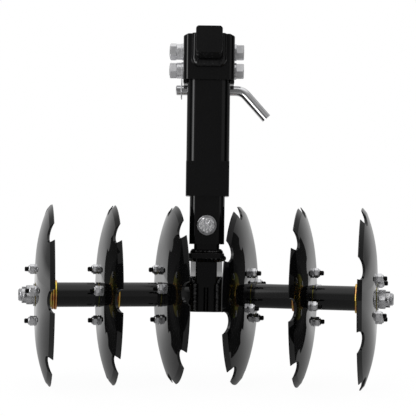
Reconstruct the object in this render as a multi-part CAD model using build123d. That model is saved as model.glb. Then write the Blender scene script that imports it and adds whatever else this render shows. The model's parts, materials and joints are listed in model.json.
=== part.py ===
from build123d import *
import os
from math import cos, radians, sin, sqrt, tan

# Small V-shaped disc harrow on one upright shank, with a drawbar stub for a 2 inch receiver.
# Millimetres. +Z is up, -Y is the direction of travel, and the origin is on the floor
# under the middle of the harrow's outline. Every height below is counted from the axles.

# Disc blades
DISC_R = 177.8          # 14 inch blade
DISC_PLATE = 4.8        # thickness of the plate
DISH_DEPTH = 30.0       # rim to the outside of the flat centre
DISC_FLAT_R = 58.0      # flat centre where the hub bolts on
NOTCH_COUNT = 8
NOTCH_R = 21.5
RIM_LAND = 1.6          # blunt edge left outside the sharpening bevel
BEVEL_WIDTH = 9.0
BLADE_BOLT_COUNT = 4
BLADE_BOLT_EDGE = 7.2   # from the bolts' circle out to the edge of the flat centre
BLADE_BOLT_R = 5.0
BLADE_BOLT_OFFSET = 12.0   # degrees from a notch to the bolt beside it

# Gangs: two axles in a V, three blades on each
GANG_ANGLE = 11.35      # degrees between an axle and the X axis
DISCS_PER_GANG = 3
FIRST_RIM = 64.5        # along the axle, from the middle to the first blade's rim
DISC_PITCH = 123.0
AXLE_R = 12.7
AXLE_INSIDE = 2.4       # axle's inner end, inside the carrier's side wall
AXLE_TAIL = 32.5        # axle end beyond the last blade's flat face
REST_TURN = (0.5, 0.5, 5.0, -13.0, -3.5, 67.5)   # degrees, each blade from left to right

# Hubs that carry the blades, and the bushes in them
HUB_FLANGE_EDGE = 2.0   # chamfered edge outside the blade's flat
HUB_FLANGE_THICK = 8.0
HUB_BARREL_R = 27.0
HUB_NOSE_R = 24.0
HUB_NOSE_OUT = 0.4      # nose beyond the blade's flat face
HUB_BARREL_START = 0.5  # barrel's inner end, outward of the rim plane
BUSH_WALL = 3.0
BUSH_FLANGE_R = 29.0
BUSH_FLANGE_THICK = 10.3
BUSH_FLANGE_ROUND = 2.5
BUSH_NECK_R = 25.0
BUSH_NECK_LENGTH = 2.0

# Blade bolts
BLADE_HEAD_ACROSS = 17.0
BLADE_HEAD_HIGH = 6.4
BLADE_NUT_ACROSS = 17.0
BLADE_NUT_HIGH = 11.4
BLADE_WASHER_R = 10.0
BLADE_WASHER_THICK = 2.0
BLADE_BOLT_TIP = 7.2    # thread beyond the nut

# Spacer tubes between the hubs, each with a turned collar next to the blade before it
SPACER_R = 24.15
SPACER_WALL = 4.0
SPACER_PLUG = 9.0
SPACER_COLLAR_R = 24.6
SPACER_COLLAR_WIDE = 4.5
SPACER_GROOVE_R = 22.2
SPACER_GROOVE_WIDE = 2.2

# Axle ends
END_WASHER_R = 22.0
END_WASHER_THICK = 3.0
CASTLE_ACROSS = 36.0
CASTLE_HEX = 14.0
CASTLE_CROWN = 8.0
CASTLE_CROWN_R = 16.0
CASTLE_SLOTS = 6
CASTLE_SLOT_WIDE = 5.0
COTTER_WIRE_R = 2.0
COTTER_LEG = 10.0

# Axle carrier: an upright box, its sides square to the axles, with a stub for each axle
HUB_FRONT_WIDE = 41.4
HUB_DEEP = 62.0
HUB_WALL = 8.0
HUB_CORNER = 2.5
HUB_BELOW = 33.0
HUB_ABOVE = 74.0
HUB_WELD = 7.5          # bead between the box and the plate on it
CARRIER_STUB_R = 25.0
CARRIER_STUB_WELD = 11.0
CAP_PLATE_WIDE = 70.0
CAP_PLATE_DEEP = 78.0
CAP_PLATE_THICK = 10.0

# Shank: neck, inner tube, collar and outer tube
NECK_SIDE = 50.8
NECK_WALL = 6.0
NECK_CORNER = 6.0
NECK_WELD = 7.0         # bead round its foot
NECK_TOP = 190.0
INNER_SIDE = 70.0
INNER_WALL = 8.0
INNER_CORNER = 12.0
INNER_BOTTOM = 102.0
INNER_TOP = 428.0
OUTER_SIDE = 86.0
OUTER_WALL = 7.0
OUTER_CORNER = 18.0
OUTER_TOP = 515.0
COLLAR_BOTTOM = 197.8
COLLAR_HIGH = 69.5
COLLAR_CORNER = 2.0

# Bolt through the neck and the inner tube, front to back
SHANK_BOLT_Z = 139.6
SHANK_BOLT_R = 10.0
SHANK_HEAD_ACROSS = 30.0
SHANK_HEAD_HIGH = 12.5
SHANK_NUT_HIGH = 16.0
SHANK_WASHER_R = 19.7
SHANK_WASHER_THICK = 3.0
SHANK_BOLT_TIP = 4.5
SHANK_HEAD_TURN = 0.0   # degrees

# Forms that repeat: hexagons with their corners turned off, fillet welds, tubes
HEX_BEVEL_ANGLE = 30.0  # degrees
HEX_FACE_SHARE = 0.95   # round face of a head or nut, as a share of its size across the flats
WELD_SLOPE = 44.0       # degrees from the weld's foot
TUBE_INNER_CORNER = 1.0

# Hitch bracket: a plate bent to a U round the outer tube
BRACKET_PLATE = 8.0
BRACKET_BEND_R = 11.0
BRACKET_TOP = 519.0
BRACKET_WEB_BOTTOM = 428.5
FLANGE_TOP = 515.0
FLANGE_BOTTOM = 424.0
FLANGE_BACK = 43.0      # flange's rear edge, behind the shank's middle
BRACKET_CORNER_IN = 10.0   # slanted top corners over the bends

# Bracket bolts, left to right
BRACKET_BOLT_Z = (452.0, 490.0)
BRACKET_BOLT_R = 10.0
BRACKET_HEAD_ACROSS = 30.0
BRACKET_HEAD_HIGH = 15.0
BRACKET_NUT_HIGH = 14.0
BRACKET_WASHER_R = 17.0
BRACKET_WASHER_THICK = 4.5
SPRING_WASHER_R = 16.0
SPRING_WASHER_THICK = 9.5
SPRING_WASHER_SLIT = 2.0
BRACKET_BOLT_TIP = 1.0
BRACKET_HEAD_TURN = (8.0, 12.0)   # degrees, lower and upper
BRACKET_NUT_TURN = (12.0, 30.0)

# Drawbar stub for a 2 inch receiver
STUB_SIDE = 50.8
STUB_WALL = 6.35
STUB_CORNER = 6.0
STUB_LENGTH = 80.0
STUB_Z = 493.5
STUB_PIN_R = 8.25
STUB_PIN_FROM_END = 28.0
STUB_WELD = 9.0         # bead's reach beside the stub
STUB_WELD_BELOW = 15.0
STUB_CAP_THICK = 4.0
STUB_CAP_PLUG = 12.0

# Bent hitch pin and its hairpin clip
PIN_R = 10.0
PIN_Z = 412.2
PIN_LEFT = 66.0
PIN_BEND_X = 68.2       # where the straight runs of the pin would meet
PIN_BEND_ANGLE = 48.0
PIN_HANDLE = 74.0
PIN_BEND_R = 28.0
PIN_CHAMFER = 2.0
CLIP_WIRE_R = 1.25
CLIP_X = 54.8
CLIP_TILT = 84.0        # degrees from level
CLIP_SHORT_END = 19.0   # leg's tip, below the pin's axis
CLIP_LONG_END = 20.5    # eye's far side, above the pin's axis
CLIP_EYE_WIDE = 7.0
CLIP_WRAP = 55.0        # degrees of the pin that the bent leg wraps, each way from its front
CLIP_LEG_GAP = 0.5      # between the two legs beside the pin
CLIP_BEND = 0.95        # share of the room that a bend of the wire takes

# Clearances
RUN_FIT = 0.08          # bush on its axle
SEAT_FIT = 0.05         # curved faces that sit in or on each other
END_GAP = 0.3           # between a turning hub and what stands still beside it
BOLT_FIT = 0.5          # hole round a bolt or pin
FACE_GAP = 0.3          # clip wire beside the pin

GANG_TILT = radians(GANG_ANGLE)
LAST_RIM = FIRST_RIM + DISC_PITCH * (DISCS_PER_GANG - 1)
MIDDLE_Y = (FIRST_RIM + LAST_RIM) / 2 * sin(GANG_TILT)
BUSH_START = HUB_BARREL_START - BUSH_NECK_LENGTH - BUSH_FLANGE_THICK
BUSH_R = AXLE_R + RUN_FIT + BUSH_WALL
BLADE_BOLT_CIRCLE_R = DISC_FLAT_R - BLADE_BOLT_EDGE
HUB_END = DISH_DEPTH + HUB_NOSE_OUT
HUB_SIDE = HUB_FRONT_WIDE / 2 * cos(GANG_TILT) + HUB_DEEP / 2 * sin(GANG_TILT)
AXLE_INNER_END = HUB_SIDE - HUB_WALL - AXLE_INSIDE
SHANK_FACE = OUTER_SIDE / 2
BRACKET_FACE = SHANK_FACE + BRACKET_PLATE


def gang_plane(side, along):
    # z runs outward along the axle and x towards the front; side is -1 left, 1 right
    outward = (side * cos(GANG_TILT), -sin(GANG_TILT), 0)
    forward = (-side * sin(GANG_TILT), -cos(GANG_TILT), 0)
    middle = Vector(0, MIDDLE_Y, DISC_R)
    return Plane(origin=middle + Vector(*outward) * along, x_dir=forward, z_dir=outward)


def shank_plane(height):
    return Plane(origin=(0, MIDDLE_Y, DISC_R + height))


def along_x(height, x=0.0):
    # z of this plane runs to the right, through the shank's middle
    return Plane(origin=(x, MIDDLE_Y, DISC_R + height), x_dir=(0, 1, 0), z_dir=(1, 0, 0))


def along_y(height, y=0.0):
    # z of this plane runs to the front, x to the right
    return Plane(origin=(0, MIDDLE_Y + y, DISC_R + height), x_dir=(1, 0, 0), z_dir=(0, -1, 0))


def turned(points):
    # solid of revolution about Z from (radius, height) points
    face = Plane.XZ * make_face(Polyline(*points, close=True))
    return revolve(face, Axis.Z)


def hexagon(across, high, turn=0.0, bevel_low=True, bevel_high=True):
    # prism with flats this far across, its corners turned off at either end
    corner_r = across / sqrt(3)
    face_r = across / 2 * HEX_FACE_SHARE
    drop = (corner_r - face_r) * tan(radians(HEX_BEVEL_ANGLE))
    low = [(face_r, 0), (corner_r, drop)] if bevel_low else [(corner_r, 0)]
    top = [(corner_r, high - drop), (face_r, high)] if bevel_high else [(corner_r, high)]
    blank = turned([(0, 0), *low, *top, (0, high)])
    return extrude(RegularPolygon(across / 2, 6, major_radius=False, rotation=turn), high) & blank


def ring(outer, inner, high):
    return extrude(Circle(outer) - Circle(inner), high)


def square_tube(side, wall, corner, low, high):
    outside = RectangleRounded(side, side, corner)
    inside = RectangleRounded(side - 2 * wall, side - 2 * wall, max(corner - wall, TUBE_INNER_CORNER))
    return shank_plane(low) * extrude(outside - inside, high - low)


def disc_blade():
    drop = DISH_DEPTH - DISC_PLATE
    reach = DISC_R - DISC_FLAT_R
    inside_r = (reach**2 + drop**2) / (2 * drop)
    outside_r = inside_r + DISC_PLATE
    centre_z = drop - inside_r
    bevel_r = DISC_R - BEVEL_WIDTH
    bevel_z = centre_z + sqrt(outside_r**2 - (bevel_r - DISC_FLAT_R) ** 2)
    hole_r = HUB_NOSE_R + SEAT_FIT
    profile = (
        Line((hole_r, drop), (DISC_FLAT_R, drop))
        + TangentArc((DISC_FLAT_R, drop), (DISC_R, 0), tangent=(1, 0))
        + Line((DISC_R, 0), (DISC_R, RIM_LAND))
        + Line((DISC_R, RIM_LAND), (bevel_r, bevel_z))
        + TangentArc((DISC_FLAT_R, DISH_DEPTH), (bevel_r, bevel_z), tangent=(1, 0))
        + Line((DISC_FLAT_R, DISH_DEPTH), (hole_r, DISH_DEPTH))
        + Line((hole_r, DISH_DEPTH), (hole_r, drop))
    )
    blade = revolve(Plane.XZ * make_face(profile), Axis.Z)
    notch = Cylinder(NOTCH_R, 4 * DISH_DEPTH)
    blade -= PolarLocations(DISC_R, NOTCH_COUNT) * notch
    return blade - blade_bolt_places() * Cylinder(BLADE_BOLT_R + BOLT_FIT, 4 * DISH_DEPTH)


def blade_bolt_places():
    return PolarLocations(BLADE_BOLT_CIRCLE_R, BLADE_BOLT_COUNT, start_angle=BLADE_BOLT_OFFSET)


def disc_hub():
    drop = DISH_DEPTH - DISC_PLATE
    bore_r = BUSH_R + SEAT_FIT
    flange_r = DISC_FLAT_R + HUB_FLANGE_EDGE
    hub = turned(
        [
            (bore_r, HUB_BARREL_START),
            (HUB_BARREL_R, HUB_BARREL_START),
            (HUB_BARREL_R, drop - HUB_FLANGE_THICK),
            (flange_r, drop - HUB_FLANGE_THICK),
            (flange_r, drop - HUB_FLANGE_EDGE),
            (DISC_FLAT_R, drop),
            (HUB_NOSE_R, drop),
            (HUB_NOSE_R, HUB_END),
            (bore_r, HUB_END),
        ]
    )
    return hub - blade_bolt_places() * Cylinder(BLADE_BOLT_R + BOLT_FIT, 4 * DISH_DEPTH)


def disc_bush():
    bore_r = AXLE_R + RUN_FIT
    bush = turned(
        [
            (bore_r, BUSH_START),
            (BUSH_FLANGE_R, BUSH_START),
            (BUSH_FLANGE_R, BUSH_START + BUSH_FLANGE_THICK),
            (BUSH_NECK_R, BUSH_START + BUSH_FLANGE_THICK),
            (BUSH_NECK_R, HUB_BARREL_START),
            (BUSH_R, HUB_BARREL_START),
            (BUSH_R, HUB_END),
            (bore_r, HUB_END),
        ]
    )
    rim = bush.edges().filter_by(GeomType.CIRCLE).group_by(Axis.Z)[0].sort_by(SortBy.RADIUS)[-1]
    return fillet(rim, BUSH_FLANGE_ROUND)


def blade_bolts():
    head_z = DISH_DEPTH - DISC_PLATE - HUB_FLANGE_THICK
    tip_z = DISH_DEPTH + BLADE_WASHER_THICK + BLADE_NUT_HIGH + BLADE_BOLT_TIP
    head = hexagon(BLADE_HEAD_ACROSS, BLADE_HEAD_HIGH, bevel_high=False)
    head = Pos(0, 0, head_z - BLADE_HEAD_HIGH) * head
    rod = Pos(0, 0, head_z) * extrude(Circle(BLADE_BOLT_R), tip_z - head_z)
    washer = Pos(0, 0, DISH_DEPTH) * extrude(Circle(BLADE_WASHER_R), BLADE_WASHER_THICK)
    nut_z = DISH_DEPTH + BLADE_WASHER_THICK
    nut = Pos(0, 0, nut_z) * hexagon(BLADE_NUT_ACROSS, BLADE_NUT_HIGH)
    bolt = head + rod + washer + nut
    return [place * bolt for place in blade_bolt_places()]


def spacer_tube(length):
    bore_r = AXLE_R + SEAT_FIT
    room_r = SPACER_R - SPACER_WALL
    return turned(
        [
            (bore_r, 0),
            (SPACER_COLLAR_R, 0),
            (SPACER_COLLAR_R, SPACER_COLLAR_WIDE),
            (SPACER_GROOVE_R, SPACER_COLLAR_WIDE),
            (SPACER_GROOVE_R, SPACER_COLLAR_WIDE + SPACER_GROOVE_WIDE),
            (SPACER_R, SPACER_COLLAR_WIDE + SPACER_GROOVE_WIDE),
            (SPACER_R, length),
            (bore_r, length),
            (bore_r, length - SPACER_PLUG),
            (room_r, length - SPACER_PLUG),
            (room_r, SPACER_PLUG),
            (bore_r, SPACER_PLUG),
        ]
    )


def castle_nut():
    nut = hexagon(CASTLE_ACROSS, CASTLE_HEX)
    nut += Pos(0, 0, CASTLE_HEX) * extrude(Circle(CASTLE_CROWN_R), CASTLE_CROWN)
    slot = Pos(CASTLE_CROWN_R, 0, CASTLE_HEX + CASTLE_CROWN / 2)
    slot *= Box(2 * CASTLE_CROWN_R, CASTLE_SLOT_WIDE, CASTLE_CROWN)
    nut -= PolarLocations(0, CASTLE_SLOTS) * slot
    return nut - Cylinder(AXLE_R + SEAT_FIT, 4 * CASTLE_HEX)


def cotter_pin():
    # across the axle in two of the nut's slots, with its legs turned over the crown
    half = CASTLE_CROWN_R + SEAT_FIT + COTTER_WIRE_R
    middle = Cylinder(COTTER_WIRE_R, 2 * half, rotation=(0, 90, 0))
    eye = Pos(half + 2 * COTTER_WIRE_R, 0, 0) * Torus(2 * COTTER_WIRE_R, COTTER_WIRE_R)
    leg = Pos(-half, 0, COTTER_LEG / 2) * Cylinder(COTTER_WIRE_R, COTTER_LEG)
    knee = Pos(-half, 0, 0) * Sphere(COTTER_WIRE_R)
    return middle + eye + leg + knee


def axle(tip):
    cotter_z = axle_nut_start() + CASTLE_HEX + CASTLE_CROWN / 2
    rod = Pos(0, 0, AXLE_INNER_END) * extrude(Circle(AXLE_R), tip - AXLE_INNER_END)
    rod = chamfer(rod.edges().group_by(Axis.Z)[-1], PIN_CHAMFER)
    hole = Cylinder(COTTER_WIRE_R + SEAT_FIT, 4 * AXLE_R, rotation=(0, 90, 0))
    return rod - Pos(0, 0, cotter_z) * hole


def axle_nut_start():
    return LAST_RIM + HUB_END + END_GAP + END_WASHER_THICK


def hub_plan(grown=0.0):
    # plan of the box, with its narrow end to the front
    front = HUB_FRONT_WIDE / 2
    back = front + HUB_DEEP * tan(GANG_TILT)
    ends = (-HUB_DEEP / 2, HUB_DEEP / 2)
    corners = [(-front, ends[0]), (front, ends[0]), (back, ends[1]), (-back, ends[1])]
    plan = make_face(Polyline(*corners, close=True))
    plan = fillet(plan.vertices(), HUB_CORNER)
    return offset(plan, grown, kind=Kind.ARC) if grown else plan


def axle_carrier():
    high = HUB_ABOVE + HUB_BELOW
    carrier = shank_plane(-HUB_BELOW) * extrude(hub_plan(), high)
    stub_end = FIRST_RIM + BUSH_START - END_GAP
    for side in (-1, 1):
        carrier += gang_plane(side, 0) * extrude(Circle(CARRIER_STUB_R), stub_end)
        # the bead is wider than the box is deep, and is ground level with its faces
        bead = Cone(CARRIER_STUB_R + CARRIER_STUB_WELD, CARRIER_STUB_R, CARRIER_STUB_WELD)
        bead = gang_plane(side, HUB_SIDE + CARRIER_STUB_WELD / 2) * bead
        carrier += bead & (shank_plane(0) * Box(2 * FIRST_RIM, HUB_DEEP, 2 * HUB_BELOW))
    narrow = Pos(0, 0, -HUB_WELD) * hub_plan()
    bead = loft([narrow, hub_plan(HUB_WELD)], ruled=True)
    bead &= Pos(0, 0, -HUB_WELD / 2) * Box(CAP_PLATE_WIDE, CAP_PLATE_DEEP, HUB_WELD)
    carrier += shank_plane(HUB_ABOVE) * bead
    carrier -= shank_plane(-HUB_BELOW) * extrude(hub_plan(-HUB_WALL), high)
    for side in (-1, 1):
        carrier -= gang_plane(side, 0) * extrude(Circle(AXLE_R + SEAT_FIT), stub_end)
    return carrier


def cap_plate():
    plate = extrude(Rectangle(CAP_PLATE_WIDE, CAP_PLATE_DEEP), CAP_PLATE_THICK)
    return shank_plane(HUB_ABOVE) * plate


def neck_tube():
    low = HUB_ABOVE + CAP_PLATE_THICK
    tube = square_tube(NECK_SIDE, NECK_WALL, NECK_CORNER, low, NECK_TOP)
    tube += shank_plane(low) * weld_bead(NECK_SIDE, NECK_CORNER, NECK_WELD)
    return tube - shank_bolt_hole()


def weld_bead(side, corner, leg):
    # fillet weld round the foot of a square tube
    foot = RectangleRounded(side + 2 * leg, side + 2 * leg, corner + leg)
    return extrude(foot, leg, taper=WELD_SLOPE) - extrude(RectangleRounded(side, side, corner), leg)


def shank_bolt_hole():
    return along_y(SHANK_BOLT_Z) * Cylinder(SHANK_BOLT_R + BOLT_FIT, 2 * OUTER_SIDE)


def pin_hole():
    return along_x(PIN_Z) * Cylinder(PIN_R + BOLT_FIT, 2 * OUTER_SIDE)


def bracket_bolt_holes():
    hole = Cylinder(BRACKET_BOLT_R + BOLT_FIT, 2 * OUTER_SIDE)
    return [along_x(height) * hole for height in BRACKET_BOLT_Z]


def inner_shank():
    tube = square_tube(INNER_SIDE, INNER_WALL, INNER_CORNER, INNER_BOTTOM, INNER_TOP)
    return tube - shank_bolt_hole() - pin_hole()


def outer_shank():
    low = COLLAR_BOTTOM + COLLAR_HIGH
    tube = square_tube(OUTER_SIDE, OUTER_WALL, OUTER_CORNER, low, OUTER_TOP)
    return tube - pin_hole() - bracket_bolt_holes()


def shank_collar():
    high = COLLAR_BOTTOM + COLLAR_HIGH
    return square_tube(OUTER_SIDE, OUTER_WALL, COLLAR_CORNER, COLLAR_BOTTOM, high)


def shank_bolt():
    face = INNER_SIDE / 2
    head_y = face + SHANK_WASHER_THICK
    tip_y = face + SHANK_WASHER_THICK + SHANK_NUT_HIGH + SHANK_BOLT_TIP
    rod = Pos(0, 0, -tip_y) * extrude(Circle(SHANK_BOLT_R), tip_y + head_y)
    head = hexagon(SHANK_HEAD_ACROSS, SHANK_HEAD_HIGH, SHANK_HEAD_TURN, bevel_low=False)
    head = Pos(0, 0, head_y) * head
    return along_y(SHANK_BOLT_Z) * (rod + head)


def shank_washers():
    face = INNER_SIDE / 2
    washer = ring(SHANK_WASHER_R, SHANK_BOLT_R + SEAT_FIT, SHANK_WASHER_THICK)
    front = Pos(0, 0, face) * washer
    back = Pos(0, 0, -face - SHANK_WASHER_THICK) * washer
    return along_y(SHANK_BOLT_Z) * (front + back)


def shank_nut():
    low = -INNER_SIDE / 2 - SHANK_WASHER_THICK - SHANK_NUT_HIGH
    nut = Pos(0, 0, low) * hexagon(SHANK_HEAD_ACROSS, SHANK_NUT_HIGH)
    nut -= Cylinder(SHANK_BOLT_R + SEAT_FIT, 4 * INNER_SIDE)
    return along_y(SHANK_BOLT_Z) * nut


def hitch_bracket():
    outside = 2 * BRACKET_FACE
    deep = BRACKET_FACE + FLANGE_BACK
    middle = Pos(0, (FLANGE_BACK - BRACKET_FACE) / 2)
    blank = middle * Rectangle(outside, deep)
    front = blank.vertices().group_by(Axis.Y)[0]
    blank = fillet(front, BRACKET_BEND_R)
    room = Pos(0, FLANGE_BACK - deep / 2 + BRACKET_PLATE / 2)
    room *= Rectangle(OUTER_SIDE, deep - BRACKET_PLATE)
    room = fillet(room.vertices().group_by(Axis.Y)[0], BRACKET_BEND_R - BRACKET_PLATE)
    plate = extrude(blank - room, BRACKET_TOP - FLANGE_BOTTOM)
    bracket = shank_plane(FLANGE_BOTTOM) * plate
    # the flanges reach lower than the web and end below its top
    web_back = -SHANK_FACE + BRACKET_BEND_R
    before = Pos(0, web_back - BRACKET_FACE) * Rectangle(2 * outside, 2 * BRACKET_FACE)
    behind = Pos(0, web_back + deep) * Rectangle(2 * outside, 2 * deep)
    bracket -= shank_plane(FLANGE_BOTTOM) * extrude(before, BRACKET_WEB_BOTTOM - FLANGE_BOTTOM)
    bracket -= shank_plane(FLANGE_TOP) * extrude(behind, BRACKET_TOP - FLANGE_TOP)
    drop = BRACKET_TOP - FLANGE_TOP
    for side in (-1, 1):
        corner = [(side * BRACKET_FACE, 0), (side * BRACKET_FACE, -drop)]
        corner = make_face(Polyline((side * (BRACKET_FACE - BRACKET_CORNER_IN), 0), *corner, close=True))
        bracket -= along_y(BRACKET_TOP) * extrude(corner, 2 * BRACKET_FACE, both=True)
    return bracket - bracket_bolt_holes()


def bracket_bolts():
    head_x = BRACKET_FACE + BRACKET_WASHER_THICK
    tip_x = head_x + SPRING_WASHER_THICK + BRACKET_NUT_HIGH + BRACKET_BOLT_TIP
    rod = Pos(0, 0, -tip_x) * extrude(Circle(BRACKET_BOLT_R), tip_x + head_x)
    bolts = []
    for height, turn in zip(BRACKET_BOLT_Z, BRACKET_HEAD_TURN):
        head = hexagon(BRACKET_HEAD_ACROSS, BRACKET_HEAD_HIGH, turn, bevel_low=False)
        bolts.append(along_x(height) * (rod + Pos(0, 0, head_x) * head))
    return bolts


def bracket_washers():
    washer = ring(BRACKET_WASHER_R, BRACKET_BOLT_R + SEAT_FIT, BRACKET_WASHER_THICK)
    left = -BRACKET_FACE - BRACKET_WASHER_THICK
    return [along_x(height, x) * washer for height in BRACKET_BOLT_Z for x in (left, BRACKET_FACE)]


def bracket_spring_washers():
    washer = ring(SPRING_WASHER_R, BRACKET_BOLT_R + SEAT_FIT, SPRING_WASHER_THICK)
    slit = Pos(SPRING_WASHER_R, 0, SPRING_WASHER_THICK / 2)
    slit *= Box(2 * SPRING_WASHER_R, SPRING_WASHER_SLIT, 2 * SPRING_WASHER_THICK)
    left = -BRACKET_FACE - BRACKET_WASHER_THICK - SPRING_WASHER_THICK
    return [along_x(height, left) * (washer - slit) for height in BRACKET_BOLT_Z]


def bracket_nuts():
    left = -BRACKET_FACE - BRACKET_WASHER_THICK - SPRING_WASHER_THICK - BRACKET_NUT_HIGH
    bore = Cylinder(BRACKET_BOLT_R + SEAT_FIT, 4 * BRACKET_NUT_HIGH)
    nuts = []
    for height, turn in zip(BRACKET_BOLT_Z, BRACKET_NUT_TURN):
        nut = hexagon(BRACKET_HEAD_ACROSS, BRACKET_NUT_HIGH, turn)
        nuts.append(along_x(height, left) * (nut - bore))
    return nuts


def stub_plane(y):
    # z runs to the front from this distance before the bracket's web
    return along_y(STUB_Z, -BRACKET_FACE - y)


def drawbar_stub():
    inside_side = STUB_SIDE - 2 * STUB_WALL
    outside = RectangleRounded(STUB_SIDE, STUB_SIDE, STUB_CORNER)
    inside = RectangleRounded(inside_side, inside_side, TUBE_INNER_CORNER)
    tube = extrude(outside - inside, STUB_LENGTH)
    hole = Cylinder(STUB_PIN_R, 2 * STUB_SIDE, rotation=(0, 90, 0))
    return stub_plane(0) * (tube - Pos(0, 0, STUB_LENGTH - STUB_PIN_FROM_END) * hole)


def stub_weld():
    # the web ends level with the stub, so the bead runs down both sides and underneath
    side = STUB_SIDE + 2 * SEAT_FIT
    corner = STUB_CORNER + SEAT_FIT
    reach = STUB_WELD + STUB_WELD_BELOW
    foot = RectangleRounded(side + 2 * STUB_WELD, side + reach, corner + STUB_WELD)
    foot = Pos(0, (STUB_WELD - STUB_WELD_BELOW) / 2, 0) * foot
    crest = RectangleRounded(side + 2 * SEAT_FIT, side + 2 * SEAT_FIT, corner + SEAT_FIT)
    bead = loft([foot, Pos(0, 0, STUB_WELD) * crest], ruled=True)
    bead -= extrude(RectangleRounded(side, side, corner), STUB_WELD)
    wide = 2 * (STUB_SIDE + STUB_WELD)
    above = Pos(0, STUB_SIDE, 0) * Box(wide, STUB_SIDE, wide)
    return stub_plane(0) * (bead - above)


def stub_end_cap():
    room = STUB_SIDE - 2 * STUB_WALL - 2 * SEAT_FIT
    cap = extrude(RectangleRounded(STUB_SIDE, STUB_SIDE, STUB_CORNER), STUB_CAP_THICK)
    plug = extrude(RectangleRounded(room, room, TUBE_INNER_CORNER), -STUB_CAP_PLUG)
    return stub_plane(STUB_LENGTH) * (cap + plug)


def hitch_pin():
    lean = radians(PIN_BEND_ANGLE)
    knee = Vector(PIN_BEND_X, 0, 0)
    tail = knee + Vector(cos(lean), 0, -sin(lean)) * PIN_HANDLE
    path = FilletPolyline((-PIN_LEFT, 0, 0), knee, tail, radius=PIN_BEND_R)
    start = Plane(origin=(-PIN_LEFT, 0, 0), z_dir=(1, 0, 0))
    pin = sweep(start * Circle(PIN_R), path=path)
    pin = chamfer(pin.edges().group_by(Axis.X)[0], PIN_CHAMFER)
    hole = Cylinder(CLIP_WIRE_R + SEAT_FIT, 4 * PIN_R)
    pin -= Location((-CLIP_X, 0, 0), (CLIP_TILT - 90, 0, 0)) * hole
    return Pos(0, MIDDLE_Y, DISC_R + PIN_Z) * pin


def pin_clip():
    # spring wire: one leg goes down through the pin's cross hole, the other wraps round the pin
    over_r = PIN_R + CLIP_WIRE_R + FACE_GAP
    low = 2 * CLIP_WIRE_R + CLIP_LEG_GAP
    wrap = radians(CLIP_WRAP)
    knee_x = over_r * tan(wrap / 2)
    foot_x = knee_x + (over_r - low) / tan(wrap)
    eye_r = CLIP_EYE_WIDE / 2
    tip = (knee_x - 2 * foot_x, over_r)
    corners = [(-CLIP_SHORT_END, 0), (CLIP_LONG_END, 0), (CLIP_LONG_END, CLIP_EYE_WIDE)]
    corners += [(CLIP_LONG_END - 2 * eye_r, CLIP_EYE_WIDE), (foot_x, low), (knee_x, over_r)]
    corners += [(-knee_x, over_r), (-foot_x, low), tip]
    eye_bend, pin_bend = CLIP_BEND * eye_r, CLIP_BEND * over_r
    bends = [eye_bend, eye_bend, eye_bend / 2, CLIP_WIRE_R, pin_bend, pin_bend, CLIP_WIRE_R]
    path = FilletPolyline(*corners, radius=bends)
    start = Plane(origin=(-CLIP_SHORT_END, 0, 0), z_dir=(1, 0, 0))
    clip = Rot(0, 0, CLIP_TILT) * sweep(start * Circle(CLIP_WIRE_R), path=path)
    return along_x(PIN_Z, -CLIP_X) * clip


def gang_side(number):
    return -1 if number <= DISCS_PER_GANG else 1


def gang_rim(number):
    # distance of blade 1 to 6, from left to right, along its axle
    place = DISCS_PER_GANG - number if gang_side(number) < 0 else number - DISCS_PER_GANG - 1
    return FIRST_RIM + DISC_PITCH * place


def build():
    parts = {
        "axle_carrier": axle_carrier(),
        "cap_plate": cap_plate(),
        "neck_tube": neck_tube(),
        "inner_shank": inner_shank(),
        "outer_shank": outer_shank(),
        "shank_collar": shank_collar(),
        "shank_bolt": shank_bolt(),
        "shank_washers": shank_washers(),
        "shank_nut": shank_nut(),
        "hitch_bracket": hitch_bracket(),
        "bracket_bolts": bracket_bolts(),
        "bracket_washers": bracket_washers(),
        "bracket_spring_washers": bracket_spring_washers(),
        "bracket_nuts": bracket_nuts(),
        "drawbar_stub": drawbar_stub(),
        "stub_weld": stub_weld(),
        "stub_end_cap": stub_end_cap(),
        "hitch_pin": hitch_pin(),
        "pin_clip": pin_clip(),
    }
    spacer_length = DISC_PITCH + BUSH_START - HUB_END - 2 * END_GAP
    tip = LAST_RIM + DISH_DEPTH + AXLE_TAIL
    nut_start = axle_nut_start()
    for side, name in ((-1, "left"), (1, "right")):
        parts[f"axle_{name}"] = gang_plane(side, 0) * axle(tip)
        for gap in range(DISCS_PER_GANG - 1):
            start = FIRST_RIM + DISC_PITCH * gap + HUB_END + END_GAP
            parts[f"spacer_{name}_{gap + 1}"] = gang_plane(side, start) * spacer_tube(spacer_length)
        washer = ring(END_WASHER_R, AXLE_R + SEAT_FIT, END_WASHER_THICK)
        parts[f"end_washer_{name}"] = gang_plane(side, nut_start - END_WASHER_THICK) * washer
        parts[f"castle_nut_{name}"] = gang_plane(side, nut_start) * castle_nut()
        cotter_start = nut_start + CASTLE_HEX + CASTLE_CROWN / 2
        parts[f"cotter_pin_{name}"] = gang_plane(side, cotter_start) * cotter_pin()

    pieces = {"blade": disc_blade(), "hub": disc_hub(), "bush": disc_bush(), "bolts": blade_bolts()}
    for number, turn in enumerate(REST_TURN, start=1):
        side = gang_side(number)
        place = gang_plane(side, gang_rim(number)).location * Rot(0, 0, -side * turn)
        for name, piece in pieces.items():
            parts[f"disc_{number}_{name}"] = [place * solid for solid in solids_of(piece)]
    return parts


def solids_of(pieces):
    pieces = pieces if isinstance(pieces, list) else [pieces]
    return [solid for piece in pieces for solid in piece.solids()]


def main():
    os.makedirs("parts", exist_ok=True)
    for name, pieces in build().items():
        solids = solids_of(pieces)
        export_step(solids[0] if len(solids) == 1 else Compound(solids), f"parts/{name}.step")


main()
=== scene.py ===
import json
from math import ceil, cos, pi, radians, sin, sqrt, tan

import bmesh
import bpy
from mathutils import Matrix, Vector, noise

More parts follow.
